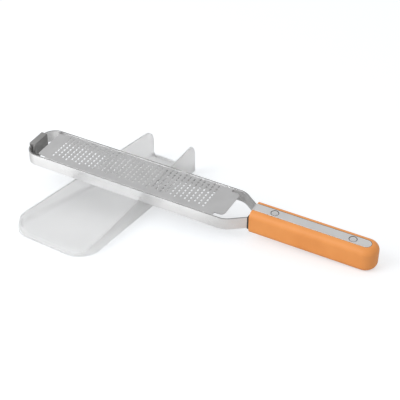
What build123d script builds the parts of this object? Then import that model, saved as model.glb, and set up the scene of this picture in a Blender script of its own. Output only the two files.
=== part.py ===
from build123d import *
from math import radians, tan
import os

# Millimetres, +Z up. The origin is the middle of the tray's base on the table,
# and +X runs along the rasp from its tip to its handle.
# The rasp is drawn lying flat: its tip is at x = 0, its far side is +y and the
# frame's top edge is at z = 0. It is then laid on the tray and on the table.

# Frame: one steel strip on edge, bent to two rails, two arms and two legs
frame_width = 42.0
strip_height = 10.8
strip_thick = 1.4
tip_radius = 12.5
arm_angle = 36.0
arm_bend_radius = 15.0
leg_spread = 13.0
leg_bend_radius = 6.0
leg_length = 28.0
leg_entry = 1.13

# Blade: etched sheet between the rails
sheet_thick = 0.5
blade_drop = 0.3
weld_gap = 0.1
blade_tip_gap = 11.6
front_tongue_length = 8.0
front_tongue_width = 34.5
front_tongue_radius = 2.0
toothed_length = 164.7
rear_tongue_length = 8.2
rear_tongue_width = 31.0
rear_tongue_radius = 4.0
rear_tongue_gap = 2.5
flange_depth = 6.0
flange_bend_radius = 0.9

# Teeth: an opening with a raised wedge behind it, in three staggered lanes
column_pitch = 4.47
lane_pitch = 3.95
lane_phases = 3
front_blank = 5.0
rear_blank = 12.0
near_blank = 6.87
far_blank = 1.3
opening_length = 1.6
opening_width = 1.9
opening_front_width = 1.4
tooth_length = 1.9
tooth_height = 0.45

# Foot: rubber sleeve round the middle of the tip
foot_width = 19.0
foot_rise = 1.8
foot_drop = 3.5
foot_outer_wall = 1.2
foot_inner_wall = 3.5
foot_edge_radius = 0.6

# Grip with its inlay, rivets and collar
grip_length = 107.2
grip_width = 21.0
grip_rise = 5.8
grip_height = 21.6
grip_edge_radius = 5.5
butt_radius = 10.4
grip_front_ease = 1.0
inlay_width = 8.9
inlay_thick = 2.0
inlay_butt_gap = 6.5
rivet_width = 7.0
rivet_front_inset = 18.1
rivet_rear_inset = 15.3
collar_width = 19.6
collar_border = 0.6
collar_out = 1.3
collar_depth = 1.5
fit_gap = 0.05

# Catch tray: a scoop with an open near end and two ears at the far end
tray_length = 173.0
tray_near_width = 84.4
tray_far_width = 49.0
tray_wall = 1.8
tray_floor = 1.8
tray_corner_radius = 18.0
tray_floor_fillet = 5.0
rim_near = 7.2
rim_far = 28.5
near_lip = 2.4
rim_fall_foot = 6.0
rim_fall_top = 13.0
rim_fall_radius = 4.0
ear_radius = 8.0
end_lip = 3.8
tray_heading = 7.8

# How the rasp leans on the tray and the table
rasp_tip_x = -82.5
rasp_axis_y = 6.9
seat_gap = 0.1
table_gap = 0.05
least_tilt = -20.0
most_tilt = 30.0
tilt_steps = 50

overrun = 2.0

# Places that follow from the sizes above
half_thick = strip_thick / 2
rail_line = frame_width / 2 - half_thick
leg_line = leg_spread / 2
blade_start = strip_thick + blade_tip_gap
toothed_start = blade_start + front_tongue_length
toothed_end = toothed_start + toothed_length
blade_end = toothed_end + rear_tongue_length
arm_corner = blade_end + rear_tongue_gap
leg_corner = arm_corner + (rail_line - leg_line) / tan(radians(arm_angle))
leg_end = leg_corner + leg_length
grip_front = leg_corner - leg_entry
overall_length = grip_front + grip_length
grip_bottom = grip_rise - grip_height
inlay_end = overall_length - inlay_butt_gap
inlay_bottom = grip_rise - inlay_thick
rivet_places = {
    "rivet_front": grip_front + rivet_front_inset,
    "rivet_rear": inlay_end - rivet_rear_inset,
}
blade_half = frame_width / 2 - strip_thick - weld_gap
flat_half = blade_half - flange_bend_radius
blade_under = -blade_drop - sheet_thick
flange_bottom = -blade_drop - flange_depth


def slab(outline, bottom, top):
    """Solid between two heights with the given outline."""
    return Pos(0, 0, bottom) * extrude(make_face(outline), top - bottom)


def loop(corners):
    """Closed outline from (x, y, corner radius) entries."""
    return FilletPolyline(
        *[(x, y) for x, y, _ in corners],
        radius=[radius for _, _, radius in corners],
        close=True,
    )


def plate(start, end, width, bottom, top):
    """Flat block along the rasp's axis."""
    half = width / 2
    return slab(loop([(start, -half, 0), (end, -half, 0), (end, half, 0), (start, half, 0)]), bottom, top)


def strip_half(offset, end):
    """One side of the strip's bent line, moved outwards by offset, from its leg to the tip."""
    shift = offset * tan(radians(arm_angle) / 2)
    return [
        (end, leg_line + offset, 0),
        (leg_corner + shift, leg_line + offset, leg_bend_radius - offset),
        (arm_corner + shift, rail_line + offset, arm_bend_radius + offset),
        (half_thick - offset, rail_line + offset, tip_radius - half_thick + offset),
    ]


def mirrored(corners):
    """The same corners on the other side of the rasp's axis."""
    return [(x, -y, radius) for x, y, radius in corners]


def strip_band(gap):
    """The bent strip, or with a gap the space that it needs round it."""
    outer = strip_half(half_thick + gap, leg_end + gap)
    inner = strip_half(-half_thick - gap, leg_end + gap)
    corners = outer + mirrored(outer[::-1]) + mirrored(inner) + inner[::-1]
    return slab(loop(corners), -strip_height - gap, gap)


def tooth_places():
    """Middles of the openings, column by column, each column one lane further on."""
    columns = int((toothed_length - front_blank - rear_blank) / column_pitch) + 1
    lane_step = lane_pitch / lane_phases
    lanes = int((2 * flat_half - near_blank - far_blank) / lane_step) + 1
    places = []
    for column in range(columns):
        x = toothed_start + front_blank + column * column_pitch
        for lane in range(-column % lane_phases, lanes, lane_phases):
            places.append((x, near_blank - flat_half + lane * lane_step))
    return places


def opening_outline(x, y):
    """Four-sided opening, widest at the cutting edge on the handle's side."""
    front = x - opening_length / 2
    back = x + opening_length / 2
    return Polyline(
        (front, y - opening_front_width / 2),
        (back, y - opening_width / 2),
        (back, y + opening_width / 2),
        (front, y + opening_front_width / 2),
        close=True,
    )


def wedge():
    """One raised tooth: a ramp that rises towards the tip and ends over its opening."""
    ramp = Plane.XZ * make_face(
        Polyline((0, 0), (tooth_length, 0), (0, tooth_height), close=True)
    )
    return Pos(0, opening_width / 2, 0) * extrude(ramp, opening_width)


def flange(side):
    """Bend and down-turned flange along one rail."""
    centre = (flat_half, -blade_drop - flange_bend_radius)
    quarter_turn = 90
    outer = CenterArc(centre, flange_bend_radius, 0, quarter_turn)
    inner = CenterArc(centre, flange_bend_radius - sheet_thick, 0, quarter_turn)
    down = Polyline(
        outer @ 0,
        (blade_half, flange_bottom),
        (blade_half - sheet_thick, flange_bottom),
        inner @ 0,
    )
    section = make_face([outer, inner, down, Line(outer @ 1, inner @ 1)])
    body = extrude(Plane.YZ * section, toothed_length)
    body = Pos(toothed_start, 0, 0) * body
    return body if side > 0 else mirror(body, Plane.XZ)


def blade_outline():
    """Flat sheet: the toothed part with a narrower tongue at each end."""
    front = front_tongue_width / 2
    rear = rear_tongue_width / 2
    side = [
        (toothed_start, -flat_half, 0),
        (toothed_end, -flat_half, 0),
        (toothed_end, -rear, 0),
        (blade_end, -rear, rear_tongue_radius),
        (blade_end, rear, rear_tongue_radius),
        (toothed_end, rear, 0),
        (toothed_end, flat_half, 0),
        (toothed_start, flat_half, 0),
        (toothed_start, front, 0),
        (blade_start, front, front_tongue_radius),
        (blade_start, -front, front_tongue_radius),
        (toothed_start, -front, 0),
    ]
    return loop(side)


def blade_plate():
    """Etched blade: holed sheet, both flanges, and a wedge behind each opening."""
    places = tooth_places()
    holes = [Wire(opening_outline(x, y).edges()) for x, y in places]
    sheet = make_face(blade_outline()).face().make_holes(holes)
    sheet = Pos(0, 0, blade_under) * extrude(sheet, sheet_thick)
    tooth = wedge()
    teeth = [Pos(x + opening_length / 2, y, -blade_drop) * tooth for x, y in places]
    return sheet + [flange(1), flange(-1)] + teeth


def tip_foot(strip):
    """Rubber sleeve that wraps the strip above, below, outside and inside."""
    inside = strip_thick + foot_inner_wall
    sleeve = plate(-foot_outer_wall, inside, foot_width, -strip_height - foot_drop, foot_rise)
    sleeve = fillet(sleeve.edges().filter_by(Axis.Y), foot_edge_radius)
    return sleeve - strip


def grip_blank():
    """Grip with a round butt, soft long edges and a slightly eased front."""
    half = grip_width / 2
    outline = loop([
        (grip_front, -half, 0),
        (overall_length, -half, butt_radius),
        (overall_length, half, butt_radius),
        (grip_front, half, 0),
    ])
    blank = slab(outline, grip_bottom, grip_rise)
    faces = blank.faces().sort_by(Axis.Z)
    edges = faces[0].edges() + faces[-1].edges()
    long_edges = [edge for edge in edges if edge.bounding_box().max.X > grip_front + overrun]
    blank = fillet(long_edges, grip_edge_radius)
    front = blank.faces().sort_by(Axis.X)[0]
    return chamfer(front.edges(), grip_front_ease)


def inlay_outline(gap):
    """Inlay from the grip's front to its round end, or with a gap its pocket."""
    half = inlay_width / 2 + gap
    end = inlay_end + gap
    start = grip_front - (overrun if gap else 0)
    return loop([(start, -half, 0), (end, -half, half), (end, half, half), (start, half, 0)])


def rivet(x, gap):
    """Rivet from the inlay's top to the grip's underside, or with a gap its hole."""
    reach = overrun if gap else 0
    pin = Cylinder(rivet_width / 2 + gap, grip_height + 2 * reach, align=(Align.CENTER, Align.CENTER, Align.MIN))
    return Pos(x, 0, grip_bottom - reach) * pin


def collar_block(gap):
    """Collar before the arms pass through it, or with a gap its recess in the grip."""
    bottom = -strip_height - collar_border - gap
    top = collar_border + gap
    end = grip_front + collar_depth
    return plate(grip_front - collar_out, end, collar_width + 2 * gap, bottom, top)


def rasp_pieces():
    """All pieces of the rasp, lying flat."""
    strip = strip_band(0)
    socket = strip_band(fit_gap)
    grip = grip_blank() - socket - collar_block(fit_gap)
    grip -= slab(inlay_outline(fit_gap), inlay_bottom, grip_rise + overrun)
    inlay = slab(inlay_outline(0), inlay_bottom, grip_rise)
    front_edge = inlay.edges().filter_by(Axis.Y).group_by(Axis.Z)[-1]
    inlay = chamfer(front_edge, grip_front_ease)
    rivets = {}
    for name, x in rivet_places.items():
        hole = rivet(x, fit_gap)
        grip -= hole
        inlay -= hole
        rivets[name] = rivet(x, 0)
    return {
        "frame_strip": strip,
        "blade_plate": blade_plate(),
        "tip_foot": tip_foot(strip),
        "handle_grip": grip,
        "inlay_plate": inlay,
        **rivets,
        "arm_collar": collar_block(0) - socket,
    }


def rim_height(along):
    """Height of the tray's rim, which rises in a straight line to the far end."""
    return rim_near + (rim_far - rim_near) * along / tray_length


def tray_block(bottom, top, inset, start, end, start_radius, end_radius):
    """Upright block with the tray's tapered plan, its walls moved in by the inset."""
    taper = (tray_far_width - tray_near_width) / 2 / tray_length
    near = tray_near_width / 2 + taper * start - inset
    far = tray_near_width / 2 + taper * end - inset
    outline = loop([
        (-near, start, start_radius),
        (near, start, start_radius),
        (far, end, end_radius),
        (-far, end, end_radius),
    ])
    return slab(outline, bottom, top)


def tray_hollow(top):
    """Space between the walls, open at the far end, with a rounded lower edge."""
    corner = tray_corner_radius - tray_wall
    end = tray_length + tray_floor_fillet
    space = tray_block(tray_floor, top, tray_wall, tray_wall, end, corner, 0)
    base = space.faces().sort_by(Axis.Z)[0]
    inner_edges = [edge for edge in base.edges() if edge.bounding_box().min.Y < tray_length]
    return fillet(inner_edges, tray_floor_fillet)


def catch_tray():
    """Scoop tray: rising side walls, open near end, a low end lip between two ears."""
    top = rim_far + overrun
    tray = tray_block(0, top, 0, 0, tray_length, tray_corner_radius, 0)
    tray -= tray_hollow(top)
    lip_start = tray_length - tray_wall
    tray += tray_block(tray_floor / 2, end_lip, tray_wall / 2, lip_start, tray_length, 0, 0)
    side = loop([
        (-overrun, -overrun, 0),
        (-overrun, near_lip, 0),
        (rim_fall_foot, near_lip, rim_fall_radius),
        (rim_fall_top, rim_height(rim_fall_top), rim_fall_radius),
        (tray_length, rim_far, ear_radius),
        (tray_length, -overrun, 0),
    ])
    keep = extrude(Plane.YZ * make_face(side), tray_near_width, both=True)
    return tray & keep


def tray_location():
    """The tray's middle at the origin, turned a little from square to the rasp."""
    return Rot(0, 0, -tray_heading) * Pos(0, -tray_length / 2, 0)


def rim_line():
    """Ends of the straight outer rim edge on the handle's side, in place."""
    start = (tray_near_width / 2, 0, rim_near)
    end = (tray_far_width / 2, tray_length, rim_far)
    return [(tray_location() * Pos(*point)).position for point in (start, end)]


def rasp_plane(tilt):
    """Plane of the frame's top edge when both rails lie on the rim at this tilt."""
    start, end = rim_line()
    run = end - start
    fall = tan(radians(tilt))
    normal = Vector(fall, -(run.Z + fall * run.X) / run.Y, 1).normalized()
    along = Vector(0, 1, 0).cross(normal).normalized()
    foot = Vector(rasp_tip_x, rasp_axis_y, 0)
    rise = (normal.dot(start - foot) + strip_height + seat_gap) / normal.Z
    return Plane(origin=foot + Vector(0, 0, rise), x_dir=along, z_dir=normal)


def butt_height(tilt):
    """Height of the lowest point of the butt's rounded lower corner."""
    plane = rasp_plane(tilt)
    down = Vector(-plane.x_dir.Z, -plane.y_dir.Z, 0).normalized()
    side = -1 if down.Y < 0 else 1
    centre = Vector(
        overall_length - butt_radius,
        side * (grip_width / 2 - butt_radius),
        grip_bottom + grip_edge_radius,
    )
    lowest = centre + down * (butt_radius - grip_edge_radius)
    return plane.from_local_coords(lowest).Z - grip_edge_radius


def resting_plane():
    """Tilt at which the butt just reaches the table, found by halving."""
    low = least_tilt
    high = most_tilt
    for _ in range(tilt_steps):
        middle = (low + high) / 2
        if butt_height(middle) > table_gap:
            low = middle
        else:
            high = middle
    return rasp_plane(high)


def build():
    """All pieces in place."""
    resting = resting_plane().location
    pieces = {name: resting * piece for name, piece in rasp_pieces().items()}
    pieces["catch_tray"] = tray_location() * catch_tray()
    return pieces


os.makedirs("parts", exist_ok=True)
for node_name, node_shape in build().items():
    export_step(node_shape, f"parts/{node_name}.step")
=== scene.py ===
import bmesh
import bpy
from math import ceil, cos, degrees, pi, radians, sin, sqrt, tan
from mathutils import Matrix, Vector

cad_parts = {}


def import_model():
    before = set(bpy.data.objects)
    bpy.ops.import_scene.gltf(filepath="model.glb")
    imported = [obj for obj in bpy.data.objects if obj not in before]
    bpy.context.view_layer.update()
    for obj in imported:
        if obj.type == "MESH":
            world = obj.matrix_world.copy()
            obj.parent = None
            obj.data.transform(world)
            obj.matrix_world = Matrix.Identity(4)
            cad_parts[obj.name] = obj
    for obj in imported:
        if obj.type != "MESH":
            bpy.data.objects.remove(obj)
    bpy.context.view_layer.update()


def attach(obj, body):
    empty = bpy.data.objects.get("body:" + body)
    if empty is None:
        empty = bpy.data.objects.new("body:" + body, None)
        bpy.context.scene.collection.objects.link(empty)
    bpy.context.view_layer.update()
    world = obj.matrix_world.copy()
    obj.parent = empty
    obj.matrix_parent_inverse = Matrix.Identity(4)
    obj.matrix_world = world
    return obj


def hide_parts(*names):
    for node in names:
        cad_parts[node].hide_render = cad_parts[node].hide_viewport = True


# Metres throughout, in the frame of the CAD model. The rasp's own axes are u from
# its tip to its handle, v to its far side and w up, with the frame's top edge at w = 0.

# How the rasp lies on the tray
RASP_FROM = (-0.0825, 0.0069, 0.0384988)
RASP_ALONG = (0.997486, 0.0, -0.070866)
RASP_UP = (0.070322, -0.123711, 0.989823)

# Frame strip
FRAME_WIDTH = 0.042
STRIP_HEIGHT = 0.0108
STRIP_THICK = 0.0014
STRIP_EASE = 0.00015
TIP_RADIUS = 0.0125
ARM_ANGLE = 36.0
ARM_BEND_RADIUS = 0.015
LEG_SPREAD = 0.013
LEG_BEND_RADIUS = 0.006
LEG_LENGTH = 0.028
LEG_ENTRY = 0.00113

# Blade sheet
SHEET_THICK = 0.0005
BLADE_DROP = 0.0003
WELD_GAP = 0.0001
BLADE_TIP_GAP = 0.0116
FRONT_TONGUE = (0.008, 0.0345, 0.002)
TOOTHED_LENGTH = 0.1647
REAR_TONGUE = (0.0082, 0.031, 0.004)
REAR_TONGUE_GAP = 0.0025
FLANGE_DEPTH = 0.006
FLANGE_BEND_RADIUS = 0.0009

# Teeth
COLUMN_PITCH = 0.00447
LANE_PITCH = 0.00395
LANE_PHASES = 3
FRONT_BLANK = 0.005
REAR_BLANK = 0.012
NEAR_BLANK = 0.00687
FAR_BLANK = 0.0013
OPENING_LENGTH = 0.0018
OPENING_WIDTH = 0.0029
OPENING_FRONT_WIDTH = 0.0026
TOOTH_LENGTH = 0.0019
TOOTH_HEIGHT = 0.00045
TOOTH_EDGE = 0.00016
TOOTH_SWELL = 0.35
TOOTH_TAPER = 0.18
TOOTH_UNDERCUT = 0.5
TOOTH_STEPS_ALONG = 4
TOOTH_STEPS_ACROSS = 8

# Foot
FOOT_WIDTH = 0.019
FOOT_RISE = 0.0018
FOOT_DROP = 0.0035
FOOT_OUTER_WALL = 0.0012
FOOT_INNER_WALL = 0.0035
FOOT_EASE = 0.0006
FOOT_END_EASE = 0.7 * FOOT_EASE
FOOT_POCKET = 0.0022
FOOT_GAP = 0.0004

# Grip, inlay, rivets and collar
GRIP_LENGTH = 0.1072
GRIP_WIDTH = 0.021
GRIP_RISE = 0.0058
GRIP_HEIGHT = 0.0216
GRIP_EASE = 0.0055
GRIP_FRONT_EASE = 0.001
GRIP_FRONT_LIP = 1.2 * GRIP_FRONT_EASE
BUTT_RADIUS = 0.0104
INLAY_WIDTH = 0.0089
INLAY_THICK = 0.002
INLAY_BUTT_GAP = 0.0065
INLAY_EASE = 0.00015
SEAM = 0.0003
RIVET_RADIUS = 0.0030
RIVET_RING = 1.6 * SEAM
RIVET_HUB = 0.02
RIVET_CROWN = 0.001
RIVET_PROFILE = ((0.0, 0.0), (0.45, 0.01), (0.75, 0.04), (0.9, 0.09), (0.97, 0.16), (1.0, 0.3))
RIVET_FRONT_INSET = 0.0181
RIVET_REAR_INSET = 0.0153
COLLAR_WIDTH = 0.0196
COLLAR_BORDER = 0.0006
COLLAR_OUT = 0.002
COLLAR_DEPTH = 0.0015
COLLAR_EASE = 0.0004

# Tray
TRAY_LENGTH = 0.173
TRAY_NEAR_WIDTH = 0.0844
TRAY_FAR_WIDTH = 0.049
TRAY_WALL = 0.0018
TRAY_FLOOR = 0.0018
TRAY_CORNER_RADIUS = 0.018
TRAY_FLOOR_FILLET = 0.005
RIM_NEAR = 0.0072
RIM_FAR = 0.0285
NEAR_LIP = 0.0024
RIM_FALL_FOOT = 0.006
RIM_FALL_TOP = 0.013
RIM_FALL_RADIUS = 0.004
EAR_RADIUS = 0.008
RIM_EASE = 0.0007
BASE_EASE = 0.0004
END_LIP = 0.0038
TRAY_HEADING = 7.8
RIM_START = -0.002
EAR_LENGTH = 0.0095
WALL_STATIONS = (0.9, 0.8, 0.65, 0.5, 0.35, 0.22, 0.15)

# Smoothness of round forms
ARC_STEP = 5.0
EASE_STEPS = 4
FILLET_STEPS = 10
FLANGE_STEPS = 12
GRIP_EDGE_STEPS = 16
ROUND_STEPS = 48
LEAST_ARC_STEPS = 2
MATCH_STRIDE = 3
SHARP_ANGLE = 34.0
MITRE_LIMIT = 0.3
HOLE_EASE_SHARE = 0.05
ROUND_END_SHARE = 0.999
EDGE_FACE_SLOPE = 0.7
FRONT_FACE_SLOPE = -0.1

# Camera: the photograph's view, worked out from the object's own corners
CAMERA_AT = (0.44396, -0.67729, 0.47273)
CAMERA_BACK = (0.4046, -0.7631, 0.5040)
CAMERA_LENS = 96.88
CAMERA_REACH = 50
SENSOR = 36.0

# Floor: its colour and its own glow, by the kind of ray that sees it
FLOOR_HALF = 6.0
FLOOR_PAPER = (0.72, 0.72, 0.72)
FLOOR_TONE = (0.53, 0.55, 0.57)
FLOOR_TONE_IN_PLASTIC = (0.10, 0.10, 0.10)
FLOOR_GLOW = 0.55
FLOOR_GLOW_TINT = (1.0, 1.01, 1.02)
FLOOR_GLOW_IN_PLASTIC = 0.90
FLOOR_GLOW_IN_METAL = 0.38
METAL_GLOW_SPAN = (0.072, 0.105)
METAL_GLOW_REACH = (-0.05, -0.008)
METAL_GLOW_START = (-0.16, -0.10)

# Surroundings and lamp
WORLD_FILL = 0.96
WORLD_FILL_RIGHT = 0.66
FILL_SPAN = (-0.2, 0.9)
WORLD_SEEN = 1.0
CEILING_SEEN = 0.7
CEILING_SPAN = (0.35, 0.85)
KEY_AT = (-0.7, -1.1, 1.0)
KEY_TOWARDS = (0.08, 0, 0)
KEY_SIZE = 1.0
KEY_POWER = 12.0

# Materials: where the noise is spread, cycles per metre of the clouds, detail of each
# kind of noise, bump strengths and the tray's clear plastic
NOISE_SPAN = (0.3, 0.7)
STEEL_CLOUDS = 60
MOULDED_CLOUDS = 45
CLOUD_DETAIL = 2.0
BRUSH_DETAIL = 4.0
PORE_DETAIL = 3.0
BRUSH_BUMP = 0.35
PORE_BUMP = 0.4
TRAY_CLEARNESS = 0.84
TRAY_IOR = 1.47

# Steels: name, dark and light colour, roughness, brush stretch, relief
STEELS = {
    "frame": (
        "frame_steel", (0.88, 0.88, 0.88), (0.94, 0.94, 0.94),
        (0.26, 0.34), (30, 4000, 4000), 0.0000015,
    ),
    # Painted dark reflection: the strip's top and bottom faces are made darker to stand for the
    # grey ceiling that the top edges reflect.
    "painted_dark_reflection": (
        "edge_painted_reflection", (0.40, 0.40, 0.40), (0.50, 0.50, 0.50),
        (0.30, 0.42), (60, 3000, 3000), 0.000002,
    ),
    "blade": (
        "blade_steel", (0.70, 0.70, 0.705), (0.76, 0.76, 0.765),
        (0.30, 0.42), (2200, 60, 2200), 0.000003,
    ),
    "edge": (
        "ground_edge", (0.78, 0.78, 0.78), (0.92, 0.92, 0.92),
        (0.15, 0.25), (2500, 2500, 2500), 0.000002,
    ),
    "inlay": (
        "inlay_steel", (0.86, 0.86, 0.862), (0.92, 0.92, 0.922),
        (0.32, 0.42), (50, 3000, 3000), 0.000003,
    ),
    "rivet": (
        "rivet_steel", (0.84, 0.84, 0.84), (0.90, 0.90, 0.90),
        (0.22, 0.30), (1500, 1500, 1500), 0.000003,
    ),
}

# Plastics and rubber, and the painted shade in the inlay's pocket: name, dark and light colour,
# roughness, pore size, relief
MOULDINGS = {
    "foot": (
        "foot_rubber", (0.25, 0.248, 0.246), (0.29, 0.288, 0.285),
        (0.55, 0.72), 0.0004, 0.00003,
    ),
    # Near black, as dark as the shade in the slot where the legs enter the grip: partly the
    # collar's own colour, partly painted shade.
    "collar": (
        "collar_plastic", (0.035, 0.035, 0.036), (0.055, 0.055, 0.057),
        (0.42, 0.55), 0.0004, 0.00002,
    ),
    "grip": (
        "grip_plastic", (0.86, 0.325, 0.08), (0.93, 0.37, 0.10),
        (0.42, 0.56), 0.0006, 0.00003,
    ),
    # Not a real finish: near-black painted shade for the inlay pocket's walls and floor and the
    # walls round the rivet holes, where shade falls in the gaps.
    "painted_groove_shade": (
        "groove_shadow", (0.05, 0.03, 0.02), (0.08, 0.045, 0.03),
        (0.6, 0.8), 0.0006, 0.00003,
    ),
    "tray": (
        "frosted_plastic", (0.92, 0.92, 0.92), (0.95, 0.95, 0.95),
        (0.40, 0.50), 0.0005, 0.00002,
    ),
}

# Places that follow from the sizes above
HALF_THICK = STRIP_THICK / 2
RAIL_LINE = FRAME_WIDTH / 2 - HALF_THICK
LEG_LINE = LEG_SPREAD / 2
BLADE_START = STRIP_THICK + BLADE_TIP_GAP
TOOTHED_START = BLADE_START + FRONT_TONGUE[0]
TOOTHED_END = TOOTHED_START + TOOTHED_LENGTH
BLADE_END = TOOTHED_END + REAR_TONGUE[0]
ARM_CORNER = BLADE_END + REAR_TONGUE_GAP
LEG_CORNER = ARM_CORNER + (RAIL_LINE - LEG_LINE) / tan(radians(ARM_ANGLE))
LEG_END = LEG_CORNER + LEG_LENGTH
GRIP_FRONT = LEG_CORNER - LEG_ENTRY
OVERALL_LENGTH = GRIP_FRONT + GRIP_LENGTH
GRIP_BOTTOM = GRIP_RISE - GRIP_HEIGHT
INLAY_END = OVERALL_LENGTH - INLAY_BUTT_GAP
RIVETS = {
    "rivet_front": GRIP_FRONT + RIVET_FRONT_INSET,
    "rivet_rear": INLAY_END - RIVET_REAR_INSET,
}
FLAT_HALF = FRAME_WIDTH / 2 - STRIP_THICK - WELD_GAP - FLANGE_BEND_RADIUS
BLADE_UNDER = -BLADE_DROP - SHEET_THICK


def rasp_matrix():
    """Place of the rasp's own axes in the frame."""
    along = Vector(RASP_ALONG).normalized()
    up = Vector(RASP_UP).normalized()
    across = up.cross(along)
    turn = Matrix((along, across, up)).transposed().to_4x4()
    return Matrix.Translation(Vector(RASP_FROM)) @ turn


def tray_matrix():
    """Place of the tray's own axes, x across and y towards its far end."""
    turn = Matrix.Rotation(radians(-TRAY_HEADING), 4, "Z")
    return turn @ Matrix.Translation(Vector((0, -TRAY_LENGTH / 2, 0)))


def rounded(corners, closed=True):
    """Points of an outline from (x, y, radius) corners, its arcs in short steps."""
    points = []
    count = len(corners)
    for index, (x, y, radius) in enumerate(corners):
        at = Vector((x, y))
        if radius <= 0 or (not closed and index in (0, count - 1)):
            points.append(at)
            continue
        before = Vector(corners[index - 1][:2]) - at
        after = Vector(corners[(index + 1) % count][:2]) - at
        before.normalize()
        after.normalize()
        half = before.angle(after) / 2
        middle = at + (before + after).normalized() * (radius / sin(half))
        start = at + before * (radius / tan(half)) - middle
        turn = pi - 2 * half
        if before.x * after.y - before.y * after.x > 0:
            turn = -turn
        steps = max(LEAST_ARC_STEPS, ceil(abs(degrees(turn)) / ARC_STEP))
        for step in range(steps + 1):
            angle = turn * step / steps
            points.append(middle + Matrix.Rotation(angle, 2) @ start)
    return points


def normals_of(points):
    """Mitred outward normal at each point of a closed anticlockwise outline."""
    made = []
    for index, at in enumerate(points):
        before = (at - points[index - 1]).normalized()
        after = (points[(index + 1) % len(points)] - at).normalized()
        side = Vector((before.y + after.y, -before.x - after.x)).normalized()
        spread = side.dot(Vector((before.y, -before.x)))
        made.append(side / max(spread, MITRE_LIMIT))
    return made


def quarter(ease):
    """(inset, drop) pairs of a quarter round, from the side face to the top face."""
    pairs = []
    for step in range(EASE_STEPS + 1):
        angle = radians(90) * step / EASE_STEPS
        pairs.append((ease * (1 - cos(angle)), ease * (1 - sin(angle))))
    return pairs


def skin(bm, rows, wrap=True):
    """Quads between rows of vertices."""
    for low, high in zip(rows, rows[1:]):
        count = len(low)
        for index in range(count if wrap else count - 1):
            after = (index + 1) % count
            corners = [low[index], low[after], high[after], high[index]]
            if len(set(corners)) > 2:
                bm.faces.new(corners)


def loop_verts(bm, points, height):
    """Vertices at the points of an outline, at one height."""
    return [bm.verts.new((p.x, p.y, height)) for p in points]


def fill(bm, loops, up):
    """Flat face inside the first loop and outside the others."""
    edges = []
    for verts in loops:
        for index, vert in enumerate(verts):
            pair = (vert, verts[(index + 1) % len(verts)])
            edges.append(bm.edges.get(pair) or bm.edges.new(pair))
    made = bmesh.ops.triangle_fill(bm, use_beauty=True, edges=edges, normal=(0, 0, 1))
    for face in made["geom"]:
        if isinstance(face, bmesh.types.BMFace):
            face.normal_update()
            if face.normal.z * up < 0:
                face.normal_flip()


def eased_block(bm, outline, holes, bottom, top, ease_top, ease_bottom, wall_slot=0):
    """Upright block with rounded edges and straight holes, its walls in the given slot."""
    loops_low = []
    loops_high = []
    for points, way in [(outline, 1)] + [(hole, -1) for hole in holes]:
        normals = normals_of(points)
        rows = []
        share = 1 if way > 0 else HOLE_EASE_SHARE
        levels = [(i * share, bottom + d * share) for i, d in reversed(quarter(ease_bottom))]
        levels += [(i * share, top - d * share) for i, d in quarter(ease_top)]
        for inset, height in levels:
            moved = [p - n * (inset * way) for p, n in zip(points, normals)]
            rows.append(loop_verts(bm, moved, height))
        before = len(bm.faces)
        skin(bm, rows[: EASE_STEPS + 2])
        bm.faces.ensure_lookup_table()
        for face in bm.faces[before:]:
            face.material_index = wall_slot
        skin(bm, rows[EASE_STEPS + 1 :])
        loops_low.append(rows[0])
        loops_high.append(rows[-1])
    fill(bm, loops_low, -1)
    fill(bm, loops_high, 1)


def make_piece(bm, name, place, body, node, materials):
    """Turns the built mesh into a piece that rides on its body in place of its node."""
    bmesh.ops.recalc_face_normals(bm, faces=bm.faces)
    bm.transform(place)
    mesh = bpy.data.meshes.new(name)
    bm.to_mesh(mesh)
    bm.free()
    for polygon in mesh.polygons:
        polygon.use_smooth = True
    mesh.set_sharp_from_angle(angle=radians(SHARP_ANGLE))
    piece = bpy.data.objects.new(name, mesh)
    bpy.context.scene.collection.objects.link(piece)
    for material in materials:
        mesh.materials.append(material)
    weighted = piece.modifiers.new("weighted", "WEIGHTED_NORMAL")
    weighted.keep_sharp = True
    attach(piece, body)
    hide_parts(node)


# Materials, made from the tables above


def new_material(name, colour, metallic, roughness):
    """A named material with its main values set on the shader itself."""
    material = bpy.data.materials.new(name)
    material.use_nodes = True
    shader = material.node_tree.nodes["Principled BSDF"]
    shader.inputs["Base Color"].default_value = (*colour, 1)
    shader.inputs["Metallic"].default_value = metallic
    shader.inputs["Roughness"].default_value = roughness
    return material, shader


def grain(material, stretch, detail):
    """Noise along the rasp's own axes, stretched by the given cycles per metre."""
    tree = material.node_tree
    place = tree.nodes.new("ShaderNodeTexCoord")
    own = tree.nodes.new("ShaderNodeMapping")
    own.vector_type = "TEXTURE"
    own.inputs["Location"].default_value = RASP_FROM
    own.inputs["Rotation"].default_value = rasp_matrix().to_euler()
    mapping = tree.nodes.new("ShaderNodeMapping")
    mapping.inputs["Scale"].default_value = stretch
    noise = tree.nodes.new("ShaderNodeTexNoise")
    noise.inputs["Scale"].default_value = 1.0
    noise.inputs["Detail"].default_value = detail
    tree.links.new(place.outputs["Object"], own.inputs["Vector"])
    tree.links.new(own.outputs["Vector"], mapping.inputs["Vector"])
    tree.links.new(mapping.outputs["Vector"], noise.inputs["Vector"])
    return noise.outputs["Fac"]


def vary(material, value, low, high, socket):
    """Sends the noise, spread between two values, into a shader socket."""
    tree = material.node_tree
    spread = tree.nodes.new("ShaderNodeMapRange")
    spread.inputs["From Min"].default_value = NOISE_SPAN[0]
    spread.inputs["From Max"].default_value = NOISE_SPAN[1]
    spread.inputs["To Min"].default_value = low
    spread.inputs["To Max"].default_value = high
    tree.links.new(value, spread.inputs["Value"])
    tree.links.new(spread.outputs["Result"], socket)


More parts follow.
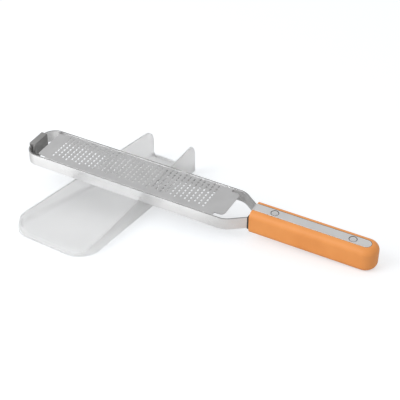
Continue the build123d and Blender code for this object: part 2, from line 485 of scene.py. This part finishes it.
def tint(material, value, dark, light, socket):
    """Sends the noise into a shader socket as a colour between two colours."""
    tree = material.node_tree
    ramp = tree.nodes.new("ShaderNodeValToRGB")
    for index, colour in enumerate((dark, light)):
        ramp.color_ramp.elements[index].position = NOISE_SPAN[index]
        ramp.color_ramp.elements[index].color = (*colour, 1)
    tree.links.new(value, ramp.inputs["Fac"])
    tree.links.new(ramp.outputs["Color"], socket)


def bump(material, shader, value, strength, distance):
    """Sends the noise into the shader's normal as relief of the given depth."""
    tree = material.node_tree
    relief = tree.nodes.new("ShaderNodeBump")
    relief.inputs["Strength"].default_value = strength
    relief.inputs["Distance"].default_value = distance
    tree.links.new(value, relief.inputs["Height"])
    tree.links.new(relief.outputs["Normal"], shader.inputs["Normal"])


def finish_surface(material, shader, lines, clouds, colours, roughness, strength, relief):
    """Colour from the clouds, roughness and bump from the fine lines or pores."""
    tint(material, clouds, *colours, shader.inputs["Base Color"])
    vary(material, lines, *roughness, shader.inputs["Roughness"])
    bump(material, shader, lines, strength, relief)
    return material


def steel(name, dark, light, roughness, stretch, relief):
    """Metal with brush lines: stretch says how the lines run over the piece."""
    material, shader = new_material(name, light, 1.0, roughness[1])
    lines = grain(material, stretch, BRUSH_DETAIL)
    clouds = grain(material, (STEEL_CLOUDS,) * 3, CLOUD_DETAIL)
    return finish_surface(
        material, shader, lines, clouds, (dark, light), roughness, BRUSH_BUMP, relief
    )


def moulded(name, dark, light, roughness, size, relief):
    """Moulded plastic or rubber with a fine even grain."""
    material, shader = new_material(name, light, 0.0, roughness[1])
    pores = grain(material, (1 / size,) * 3, PORE_DETAIL)
    clouds = grain(material, (MOULDED_CLOUDS,) * 3, CLOUD_DETAIL)
    return finish_surface(
        material, shader, pores, clouds, (dark, light), roughness, PORE_BUMP, relief
    )


def make_materials():
    """All finishes of the object. The tray's plastic is frosted and lets light through."""
    made = {key: steel(*values) for key, values in STEELS.items()}
    made.update({key: moulded(*values) for key, values in MOULDINGS.items()})
    shader = made["tray"].node_tree.nodes["Principled BSDF"]
    shader.inputs["Transmission Weight"].default_value = TRAY_CLEARNESS
    shader.inputs["IOR"].default_value = TRAY_IOR
    return made


# The rasp's pieces, drawn in its own axes


def strip_half(offset, end):
    """One side of the strip's bent line, moved outwards, from its leg to the tip."""
    shift = offset * tan(radians(ARM_ANGLE) / 2)
    return [
        (end, LEG_LINE + offset, 0),
        (LEG_CORNER + shift, LEG_LINE + offset, LEG_BEND_RADIUS - offset),
        (ARM_CORNER + shift, RAIL_LINE + offset, ARM_BEND_RADIUS + offset),
        (HALF_THICK - offset, RAIL_LINE + offset, TIP_RADIUS - HALF_THICK + offset),
    ]


def strip_section():
    """(offset, height) round the strip's section, with rounded edges."""
    section = []
    ease = quarter(STRIP_EASE)
    for inset, drop in ease:
        section.append((HALF_THICK - inset, -drop))
    for inset, drop in reversed(ease):
        section.append((inset - HALF_THICK, -drop))
    for inset, drop in ease:
        section.append((inset - HALF_THICK, drop - STRIP_HEIGHT))
    for inset, drop in reversed(ease):
        section.append((HALF_THICK - inset, drop - STRIP_HEIGHT))
    return section


def frame_strip(place, materials):
    """The long bent steel loop."""
    bm = bmesh.new()
    columns = []
    for offset, height in strip_section():
        half = strip_half(offset, LEG_END)
        corners = half + [(x, -y, r) for x, y, r in half[::-1]]
        columns.append(loop_verts(bm, rounded(corners, closed=False), height))
    rows = [list(row) for row in zip(*columns)]
    skin(bm, rows)
    # Faces that look straight up or down take the darker steel, a painted dark reflection along
    # the strip's edges.
    for face in bm.faces:
        face.normal_update()
        face.material_index = 1 if abs(face.normal.z) > EDGE_FACE_SLOPE else 0
    bm.faces.new(rows[0])
    bm.faces.new(rows[-1][::-1])
    slots = [materials["frame"], materials["painted_dark_reflection"]]
    make_piece(bm, "frame_loop", place, "rasp", "frame_strip", slots)


def tooth_places():
    """Middles of the openings: each column's x with the y of each of its openings."""
    columns = int((TOOTHED_LENGTH - FRONT_BLANK - REAR_BLANK) / COLUMN_PITCH) + 1
    lane_step = LANE_PITCH / LANE_PHASES
    lanes = int((2 * FLAT_HALF - NEAR_BLANK - FAR_BLANK) / lane_step) + 1
    made = []
    for column in range(columns):
        x = TOOTHED_START + FRONT_BLANK + column * COLUMN_PITCH
        first = -column % LANE_PHASES
        start = NEAR_BLANK - FLAT_HALF
        ys = [start + lane * lane_step for lane in range(first, lanes, LANE_PHASES)]
        made.append((x, ys))
    return made


def rect_face(bm, start, end, low, high, height, up):
    """Flat rectangle of the sheet, facing up or down."""
    corners = [(start, low), (end, low), (end, high), (start, high)]
    verts = [bm.verts.new((x, y, height)) for x, y in corners]
    bm.faces.new(verts if up else verts[::-1])


def holed_cell(bm, x, y, start, end, low, high):
    """Sheet round one opening, with the opening's own walls."""
    front = x - OPENING_LENGTH / 2
    back = x + OPENING_LENGTH / 2
    opening = [
        (front, y - OPENING_FRONT_WIDTH / 2),
        (back, y - OPENING_WIDTH / 2),
        (back, y + OPENING_WIDTH / 2),
        (front, y + OPENING_FRONT_WIDTH / 2),
    ]
    cell = [(start, low), (end, low), (end, high), (start, high)]
    rims = []
    for height in (-BLADE_DROP, BLADE_UNDER):
        outer = [bm.verts.new((*p, height)) for p in cell]
        inner = [bm.verts.new((*p, height)) for p in opening]
        skin(bm, [outer, inner])
        rims.append([bm.verts.new((*p, height)) for p in opening])
    skin(bm, rims)


def sheet_middle(bm):
    """The toothed part of the sheet, one column of openings after another."""
    for x, ys in tooth_places():
        start = x - COLUMN_PITCH / 2
        end = x + COLUMN_PITCH / 2
        for index, y in enumerate(ys):
            low = y - LANE_PITCH / 2 if index > 0 else -FLAT_HALF
            high = y + LANE_PITCH / 2 if index < len(ys) - 1 else FLAT_HALF
            holed_cell(bm, x, y, start, end, low, high)
    first = tooth_places()[0][0] - COLUMN_PITCH / 2
    last = tooth_places()[-1][0] + COLUMN_PITCH / 2
    for height, up in ((-BLADE_DROP, True), (BLADE_UNDER, False)):
        rect_face(bm, TOOTHED_START, first, -FLAT_HALF, FLAT_HALF, height, up)
        rect_face(bm, last, TOOTHED_END, -FLAT_HALF, FLAT_HALF, height, up)


def tongue(bm, root, end, width, radius):
    """Narrower end of the sheet with two rounded corners."""
    half = width / 2
    corners = [(root, -half, 0), (end, -half, radius), (end, half, radius), (root, half, 0)]
    points = rounded(corners)
    if end < root:
        points = points[::-1]
    low = loop_verts(bm, points, BLADE_UNDER)
    high = loop_verts(bm, points, -BLADE_DROP)
    skin(bm, [low, high])
    bm.faces.new(low[::-1])
    bm.faces.new(high)


def flange(bm, side):
    """Rounded bend and down-turned flange along one rail."""
    outer = []
    inner = []
    for step in range(FLANGE_STEPS + 1):
        angle = radians(90) * step / FLANGE_STEPS
        inner_radius = FLANGE_BEND_RADIUS - SHEET_THICK
        for radius, points in ((FLANGE_BEND_RADIUS, outer), (inner_radius, inner)):
            y = FLAT_HALF + radius * sin(angle)
            z = -BLADE_DROP - FLANGE_BEND_RADIUS + radius * cos(angle)
            points.append((side * y, z))
    foot = -BLADE_DROP - FLANGE_DEPTH
    outer.append((outer[-1][0], foot))
    inner.append((inner[-1][0], foot))
    section = outer + inner[::-1]
    rows = [[bm.verts.new((x, y, z)) for y, z in section] for x in (TOOTHED_START, TOOTHED_END)]
    skin(bm, rows)
    bm.faces.new(rows[0][::-1])
    bm.faces.new(rows[1])


def tooth_height(along, across):
    """Height of the raised tooth: along runs from its edge to its root."""
    arch = sqrt(max(0.0, 1 - across ** 2))
    return TOOTH_HEIGHT * arch * (1 - along) * (1 + TOOTH_SWELL * along)


def tooth(bm, x, y):
    """One formed tooth with a ground cutting edge that faces the tip."""
    rows = []
    for i in range(TOOTH_STEPS_ALONG + 1):
        along = i / TOOTH_STEPS_ALONG
        half = OPENING_WIDTH / 2 * (1 - TOOTH_TAPER * along)
        row = []
        for j in range(TOOTH_STEPS_ACROSS + 1):
            across = 2 * j / TOOTH_STEPS_ACROSS - 1
            height = -BLADE_DROP + tooth_height(along, across)
            row.append(bm.verts.new((x + TOOTH_LENGTH * along, y + half * across, height)))
        rows.append(row)
    skin(bm, rows, wrap=False)
    middle = -BLADE_DROP - SHEET_THICK / 2
    edge = [bm.verts.new(v.co) for v in rows[0]]
    lower = []
    for vert in edge:
        lower.append(bm.verts.new((x, vert.co.y, max(middle, vert.co.z - TOOTH_EDGE))))
    for j in range(TOOTH_STEPS_ACROSS):
        face = bm.faces.new([edge[j], edge[j + 1], lower[j + 1], lower[j]])
        face.material_index = 1
    back = x + TOOTH_LENGTH * TOOTH_UNDERCUT
    under = [bm.verts.new((back, vert.co.y, middle)) for vert in lower]
    skin(bm, [[bm.verts.new(v.co) for v in lower], under], wrap=False)


def blade(place, materials):
    """The etched sheet with its bent sides and its teeth."""
    bm = bmesh.new()
    sheet_middle(bm)
    tongue(bm, TOOTHED_START, BLADE_START, FRONT_TONGUE[1], FRONT_TONGUE[2])
    tongue(bm, TOOTHED_END, BLADE_END, REAR_TONGUE[1], REAR_TONGUE[2])
    flange(bm, 1)
    flange(bm, -1)
    for x, ys in tooth_places():
        for y in ys:
            tooth(bm, x + OPENING_LENGTH / 2, y)
    slots = [materials["blade"], materials["edge"]]
    make_piece(bm, "etched_blade", place, "rasp", "blade_plate", slots)


def foot_section(grow):
    """(u, w) round the sleeve's section, with rounded edges, grown by the given amount."""
    left = -FOOT_OUTER_WALL - grow
    right = STRIP_THICK + FOOT_INNER_WALL + grow
    low = -STRIP_HEIGHT - FOOT_DROP - grow
    high = FOOT_RISE + grow
    corners = [(left, low), (right, low), (right, high), (left, high)]
    return rounded([(*corner, FOOT_EASE) for corner in corners])


def strip_gap_section(count):
    """(u, w) round the strip's own section with a gap, in the given number of points."""
    gap = FOOT_GAP
    corners = [(-gap, -STRIP_HEIGHT - gap), (STRIP_THICK + gap, -STRIP_HEIGHT - gap)]
    corners += [(STRIP_THICK + gap, gap), (-gap, gap)]
    each = count // len(corners)
    points = []
    for index, start in enumerate(corners):
        end = Vector(corners[(index + 1) % len(corners)])
        points += [Vector(start).lerp(end, step / each) for step in range(each)]
    return points


def matched(outer, inner):
    """The inner points, started where they lie nearest to the outer ones."""
    count = len(outer)

    def spread(shift):
        tried = range(0, count, MATCH_STRIDE)
        return sum((outer[i] - inner[(i + shift) % count]).length for i in tried)

    shift = min(range(count), key=spread)
    return [inner[(i + shift) % count] for i in range(count)]


def foot(place, materials):
    """Rubber sleeve with rounded ends and a pocket round the strip at each end."""
    bm = bmesh.new()
    base = foot_section(0)
    inner = matched(base, strip_gap_section(len(base)))
    half = FOOT_WIDTH / 2
    end_rows = [(-inset, half - drop) for inset, drop in quarter(FOOT_END_EASE)]
    sections = [(grow, -y) for grow, y in end_rows[::-1]] + end_rows
    rows = []
    for grow, y in sections:
        rows.append([bm.verts.new((p.x, y, p.y)) for p in foot_section(grow)])
    skin(bm, rows)
    for row, y, way in ((rows[0], -half, 1), (rows[-1], half, -1)):
        rim = [bm.verts.new((p.x, y, p.y)) for p in inner]
        deep = [bm.verts.new((p.x, y + way * FOOT_POCKET, p.y)) for p in inner]
        skin(bm, [row, rim])
        skin(bm, [rim, deep])
        bm.faces.new(deep)
    make_piece(bm, "tip_sleeve", place, "rasp", "tip_foot", [materials["foot"]])


def grip_outline():
    """Plan of the grip with its round butt, anticlockwise from the front."""
    half = GRIP_WIDTH / 2
    return rounded([
        (GRIP_FRONT, -half, 0),
        (OVERALL_LENGTH, -half, BUTT_RADIUS),
        (OVERALL_LENGTH, half, BUTT_RADIUS),
        (GRIP_FRONT, half, 0),
    ])


def front_inset(depth, ease):
    """How far the front face has drawn back at this depth of its small rounding."""
    rest = ease - min(depth, ease)
    return ease - sqrt(max(0.0, ease ** 2 - rest ** 2))


def inlay_outline(gap):
    """Plan of the inlay, or with a gap its pocket."""
    half = INLAY_WIDTH / 2 + gap
    end = INLAY_END + gap
    return rounded([
        (GRIP_FRONT, -half, 0),
        (end, -half, half * ROUND_END_SHARE),
        (end, half, half * ROUND_END_SHARE),
        (GRIP_FRONT, half, 0),
    ])


def grip_levels():
    """(inset, depth, height) rows from the grip's bottom edge up to its top edge."""
    levels = []
    for step in range(GRIP_EDGE_STEPS + 1):
        angle = radians(90) * step / GRIP_EDGE_STEPS
        levels.append((GRIP_EASE * (1 - cos(angle)), GRIP_EASE * (1 - sin(angle))))
    rows = [(inset, depth, GRIP_BOTTOM + depth) for inset, depth in reversed(levels)]
    return rows + [(inset, depth, GRIP_RISE - depth) for inset, depth in levels]


def inlay_pocket(bm, top_row):
    """Top face round the inlay's pocket, then the pocket's walls and floor in near-black
    painted shade.
    """
    front = GRIP_FRONT + GRIP_FRONT_LIP
    pocket = [Vector((max(p.x, front), p.y)) for p in inlay_outline(SEAM)]
    fill(bm, [top_row, loop_verts(bm, pocket, GRIP_RISE)], 1)
    wall_high = loop_verts(bm, pocket, GRIP_RISE)
    wall_low = loop_verts(bm, pocket, GRIP_RISE - INLAY_THICK)
    before = len(bm.faces)
    skin(bm, [wall_high, wall_low])
    bm.faces.new(wall_low)
    bm.faces.ensure_lookup_table()
    for face in bm.faces[before:]:
        face.material_index = 1


def grip(place, materials):
    """Orange grip with soft edges and a pocket for the inlay."""
    bm = bmesh.new()
    points = grip_outline()
    normals = normals_of(points)
    rows = []
    for inset, depth, height in grip_levels():
        drawn = front_inset(depth, GRIP_FRONT_EASE)
        row = []
        for p, n in zip(points, normals):
            x = p.x - n.x * (drawn if n.x < FRONT_FACE_SLOPE else inset)
            row.append(bm.verts.new((x, p.y - n.y * inset, height)))
        rows.append(row)
    skin(bm, rows)
    fill(bm, [rows[0]], -1)
    inlay_pocket(bm, rows[-1])
    slots = [materials["grip"], materials["painted_groove_shade"]]
    make_piece(bm, "grip_body", place, "rasp", "handle_grip", slots)


def circle(x, radius, way):
    """Points round a place on the rasp's axis, anticlockwise for way 1."""
    angles = [2 * pi * k / ROUND_STEPS for k in range(ROUND_STEPS)]
    return [Vector((x + radius * cos(a), way * radius * sin(a))) for a in angles]


def inlay(place, materials):
    """Steel inlay with eased edges and two rivet holes."""
    bm = bmesh.new()
    holes = [circle(x, RIVET_RADIUS + RIVET_RING, -1) for x in RIVETS.values()]
    bottom = GRIP_RISE - INLAY_THICK
    outline = inlay_outline(0)
    # The lower walls of the inlay's edge and of its rivet holes take the painted shade, which
    # draws a dark seam round the inlay and a dark ring round each rivet.
    eased_block(bm, outline, holes, bottom, GRIP_RISE, INLAY_EASE, INLAY_EASE / 2, 1)
    slots = [materials["inlay"], materials["painted_groove_shade"]]
    make_piece(bm, "inlay_strip", place, "rasp", "inlay_plate", slots)


def rivet(name, x, place, materials):
    """Rivet with a slightly crowned head at each end."""
    bm = bmesh.new()
    side = [(share, GRIP_RISE - drop * RIVET_CROWN) for share, drop in RIVET_PROFILE]
    side += [(share, GRIP_BOTTOM + drop * RIVET_CROWN) for share, drop in RIVET_PROFILE[::-1]]
    rows = []
    for share, height in side:
        radius = max(share, RIVET_HUB) * RIVET_RADIUS
        rows.append(loop_verts(bm, circle(x, radius, 1), height))
    skin(bm, rows)
    bm.faces.new(rows[0])
    bm.faces.new(rows[-1][::-1])
    make_piece(bm, name + "_pin", place, "rasp", name, [materials["rivet"]])


def collar(place, materials):
    """Dark collar at the grip's front, which the strip's legs run through. Its near-black
    colour partly stands in for the shade in that slot.
    """
    bm = bmesh.new()
    half = COLLAR_WIDTH / 2
    low = -STRIP_HEIGHT - COLLAR_BORDER
    high = COLLAR_BORDER
    corners = [(-half, low), (half, low), (half, high), (-half, high)]
    outline = rounded([(*corner, COLLAR_EASE) for corner in corners])
    depth = COLLAR_OUT + COLLAR_DEPTH
    eased_block(bm, outline, [], 0, depth, COLLAR_EASE, COLLAR_EASE / 2)
    back = GRIP_FRONT + COLLAR_DEPTH
    turn = Matrix(((0, 0, -1, back), (1, 0, 0, 0), (0, 1, 0, 0), (0, 0, 0, 1)))
    bm.transform(turn)
    slots = [materials["collar"]]
    make_piece(bm, "collar_block", place, "rasp", "arm_collar", slots)


# The tray, drawn in its own axes


def rim_height(along):
    """Height of the tray's rim at this distance from its near end."""
    return RIM_NEAR + (RIM_FAR - RIM_NEAR) * along / TRAY_LENGTH


def rim_profile():
    """(y, z) points of the tray's rim seen from the side, near end first."""
    corners = [
        (RIM_START, NEAR_LIP, 0),
        (RIM_FALL_FOOT, NEAR_LIP, RIM_FALL_RADIUS),
        (RIM_FALL_TOP, rim_height(RIM_FALL_TOP), RIM_FALL_RADIUS),
        (TRAY_LENGTH, RIM_FAR, EAR_RADIUS),
        (TRAY_LENGTH, 0, 0),
    ]
    return rounded(corners, closed=False)


def rim_at(profile, y):
    """Height of the rim's side profile at this distance from the near end."""
    for low, high in zip(profile, profile[1:]):
        if low.x <= y <= high.x and high.x > low.x:
            return low.y + (high.y - low.y) * (y - low.x) / (high.x - low.x)
    return profile[-2].y


def tray_path(inset, stations):
    """Plan line of the wall at this inset, from its far left end round to its far right end."""
    taper = (TRAY_FAR_WIDTH - TRAY_NEAR_WIDTH) / 2 / TRAY_LENGTH
    near = TRAY_NEAR_WIDTH / 2 + taper * inset - inset
    far = TRAY_FAR_WIDTH / 2 - inset
    corners = [
        (-far, TRAY_LENGTH, 0),
        (-near, inset, TRAY_CORNER_RADIUS - inset),
        (near, inset, TRAY_CORNER_RADIUS - inset),
        (far, TRAY_LENGTH, 0),
    ]
    points = rounded(corners, closed=False)
    left = []
    for y in stations:
        share = (TRAY_LENGTH - y) / (TRAY_LENGTH - points[1].y)
        left.append(points[0].lerp(points[1], share))
    right = [Vector((-p.x, p.y)) for p in left[::-1]]
    return left + points[1:-1] + right


def wall_section():
    """(inset, height or None, drop) across the wall from its outer foot to the floor."""
    section = [(inset, drop, 0) for inset, drop in reversed(quarter(BASE_EASE))]
    rim = [(inset, None, drop) for inset, drop in quarter(RIM_EASE)]
    section += rim
    section += [(TRAY_WALL - inset, None, drop) for inset, _, drop in rim[::-1]]
    centre = TRAY_FLOOR + TRAY_FLOOR_FILLET
    for step in range(FILLET_STEPS + 1):
        angle = radians(90) * step / FILLET_STEPS
        inset = TRAY_WALL + TRAY_FLOOR_FILLET * (1 - cos(angle))
        section.append((inset, centre - TRAY_FLOOR_FILLET * sin(angle), 0))
    return section


def end_lip(bm):
    """Low lip across the floor's far end, with a rounded top."""
    half = TRAY_FAR_WIDTH / 2 - TRAY_WALL / 2
    start = TRAY_LENGTH - TRAY_WALL
    section = [(start, TRAY_FLOOR / 2), (TRAY_LENGTH, TRAY_FLOOR / 2)]
    ease = quarter(RIM_EASE)
    section += [(TRAY_LENGTH - inset, END_LIP - drop) for inset, drop in ease]
    section += [(start + inset, END_LIP - drop) for inset, drop in reversed(ease)]
    rows = [[bm.verts.new((x, y, z)) for y, z in section] for x in (-half, half)]
    skin(bm, rows)
    bm.faces.new(rows[0])
    bm.faces.new(rows[1][::-1])


def tray(place, materials):
    """Frosted scoop with rising walls, round near corners and a low lip at its far end."""
    bm = bmesh.new()
    profile = rim_profile()
    ear = [p.x for p in profile if p.x > TRAY_LENGTH - EAR_LENGTH]
    stations = sorted(set(round(y, 6) for y in ear), reverse=True)
    stations += [TRAY_LENGTH * share for share in WALL_STATIONS]
    columns = []
    for inset, height, drop in wall_section():
        column = []
        for p in tray_path(inset, stations):
            top = rim_at(profile, p.y) - drop
            z = top if height is None else min(height, top)
            column.append(bm.verts.new((p.x, p.y, z)))
        columns.append(column)
    rows = [list(row) for row in zip(*columns)]
    skin(bm, rows, wrap=False)
    fill(bm, [[row[-1] for row in rows]], 1)
    fill(bm, [[row[0] for row in rows]], -1)
    for row in (rows[0], rows[-1]):
        bm.faces.new(row)
    low = [rows[0][0], rows[-1][0], rows[-1][-1], rows[0][-1]]
    bm.faces.new(low)
    end_lip(bm)
    slots = [materials["tray"]]
    make_piece(bm, "tray_scoop", place, "tray", "catch_tray", slots)


# Studio: floor, surroundings, lamp and camera


def by_ray(tree, kind, plain, choices):
    """A plain value, with other values for some kinds of ray."""
    path = tree.nodes.new("ShaderNodeLightPath")
    found = plain
    for name, value in choices:
        mix = tree.nodes.new("ShaderNodeMix")
        mix.data_type = kind
        tree.links.new(path.outputs[name], mix.inputs["Factor"])
        for socket, given in (("A", found), ("B", value)):
            if isinstance(given, bpy.types.NodeSocket):
                tree.links.new(given, mix.inputs[socket])
            else:
                mix.inputs[socket].default_value = given
        found = mix.outputs["Result"]
    return found


def between(tree, value, span, result):
    """Spreads a value smoothly from one span to another."""
    spread = tree.nodes.new("ShaderNodeMapRange")
    spread.interpolation_type = "SMOOTHSTEP"
    spread.inputs["From Min"].default_value = span[0]
    spread.inputs["From Max"].default_value = span[1]
    spread.inputs["To Min"].default_value = result[0]
    spread.inputs["To Max"].default_value = result[1]
    tree.links.new(value, spread.inputs["Value"])
    return spread.outputs["Result"]


def metal_glow(tree):
    """The floor's glow as metal shows it: a bright patch before the tray, none elsewhere."""
    place = tree.nodes.new("ShaderNodeTexCoord")
    parts = tree.nodes.new("ShaderNodeSeparateXYZ")
    tree.links.new(place.outputs["Object"], parts.inputs[0])
    bright = between(tree, parts.outputs["X"], METAL_GLOW_SPAN, (FLOOR_GLOW_IN_METAL, 0))
    for span, result in ((METAL_GLOW_REACH, (1, 0)), (METAL_GLOW_START, (0, 1))):
        both = tree.nodes.new("ShaderNodeMath")
        both.operation = "MULTIPLY"
        tree.links.new(bright, both.inputs[0])
        tree.links.new(between(tree, parts.outputs["Y"], span, result), both.inputs[1])
        bright = both.outputs[0]
    return bright


def floor_material():
    """White paper: seen directly it glows up to white and keeps the object's shadow."""
    material = bpy.data.materials.new("studio_floor")
    material.use_nodes = True
    tree = material.node_tree
    tree.nodes.clear()
    strengths = [
        ("Is Glossy Ray", metal_glow(tree)),
        ("Is Transmission Ray", FLOOR_GLOW_IN_PLASTIC),
        ("Is Camera Ray", FLOOR_GLOW),
    ]
    tones = [
        ("Is Transmission Ray", (*FLOOR_TONE_IN_PLASTIC, 1)),
        ("Is Camera Ray", (*FLOOR_TONE, 1)),
    ]
    glow = tree.nodes.new("ShaderNodeEmission")
    glow.inputs["Color"].default_value = (*FLOOR_GLOW_TINT, 1)
    tree.links.new(by_ray(tree, "FLOAT", 0.0, strengths), glow.inputs["Strength"])
    matte = tree.nodes.new("ShaderNodeBsdfDiffuse")
    tree.links.new(by_ray(tree, "RGBA", (*FLOOR_PAPER, 1), tones), matte.inputs["Color"])
    total = tree.nodes.new("ShaderNodeAddShader")
    out = tree.nodes.new("ShaderNodeOutputMaterial")
    tree.links.new(glow.outputs[0], total.inputs[0])
    tree.links.new(matte.outputs[0], total.inputs[1])
    tree.links.new(total.outputs[0], out.inputs["Surface"])
    return material


def floor():
    """The plain floor that the tray stands on."""
    bm = bmesh.new()
    half = FLOOR_HALF
    rect_face(bm, -half, half, -half, half, 0, True)
    mesh = bpy.data.meshes.new("studio_floor")
    bm.to_mesh(mesh)
    bm.free()
    plane = bpy.data.objects.new("studio_floor", mesh)
    mesh.materials.append(floor_material())
    bpy.context.scene.collection.objects.link(plane)


def world():
    """White surroundings under a greyer ceiling, softer as light than as seen."""
    made = bpy.data.worlds.new("studio_world")
    bpy.context.scene.world = made
    made.use_nodes = True
    tree = made.node_tree
    tree.nodes.clear()
    way = tree.nodes.new("ShaderNodeTexCoord")
    parts = tree.nodes.new("ShaderNodeSeparateXYZ")
    tree.links.new(way.outputs["Generated"], parts.inputs[0])
    ceiling = between(tree, parts.outputs["Z"], CEILING_SPAN, (WORLD_SEEN, CEILING_SEEN))
    fill_light = between(tree, parts.outputs["X"], FILL_SPAN, (WORLD_FILL, WORLD_FILL_RIGHT))
    strengths = [
        ("Is Glossy Ray", ceiling),
        ("Is Transmission Ray", WORLD_SEEN),
        ("Is Camera Ray", WORLD_SEEN),
    ]
    background = tree.nodes.new("ShaderNodeBackground")
    strength = by_ray(tree, "FLOAT", fill_light, strengths)
    tree.links.new(strength, background.inputs["Strength"])
    out = tree.nodes.new("ShaderNodeOutputWorld")
    tree.links.new(background.outputs[0], out.inputs["Surface"])


def key_lamp():
    """Large soft area lamp at the near left."""
    data = bpy.data.lights.new("key", "AREA")
    data.size = KEY_SIZE
    data.energy = KEY_POWER
    made = bpy.data.objects.new("key", data)
    bpy.context.scene.collection.objects.link(made)
    made.location = KEY_AT
    towards = Vector(KEY_TOWARDS) - Vector(KEY_AT)
    made.rotation_euler = towards.to_track_quat("-Z", "Y").to_euler()


def camera():
    """Camera at the photograph's viewing angle."""
    data = bpy.data.cameras.new("camera")
    data.sensor_width = SENSOR
    data.lens = CAMERA_LENS
    data.clip_end = CAMERA_REACH
    made = bpy.data.objects.new("camera", data)
    bpy.context.scene.collection.objects.link(made)
    back = Vector(CAMERA_BACK).normalized()
    right = Vector((0, 0, 1)).cross(back).normalized()
    up = back.cross(right)
    turn = Matrix((right, up, back)).transposed().to_4x4()
    made.matrix_world = Matrix.Translation(Vector(CAMERA_AT)) @ turn
    bpy.context.scene.camera = made


def studio():
    """Floor, light and camera."""
    floor()
    world()
    key_lamp()
    camera()
    bpy.context.scene.view_settings.view_transform = "Standard"


def object_pieces():
    """Every piece of the rasp and the tray."""
    materials = make_materials()
    place = rasp_matrix()
    frame_strip(place, materials)
    blade(place, materials)
    foot(place, materials)
    grip(place, materials)
    inlay(place, materials)
    for name, x in RIVETS.items():
        rivet(name, x, place, materials)
    collar(place, materials)
    tray(tray_matrix(), materials)


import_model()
studio()
object_pieces()
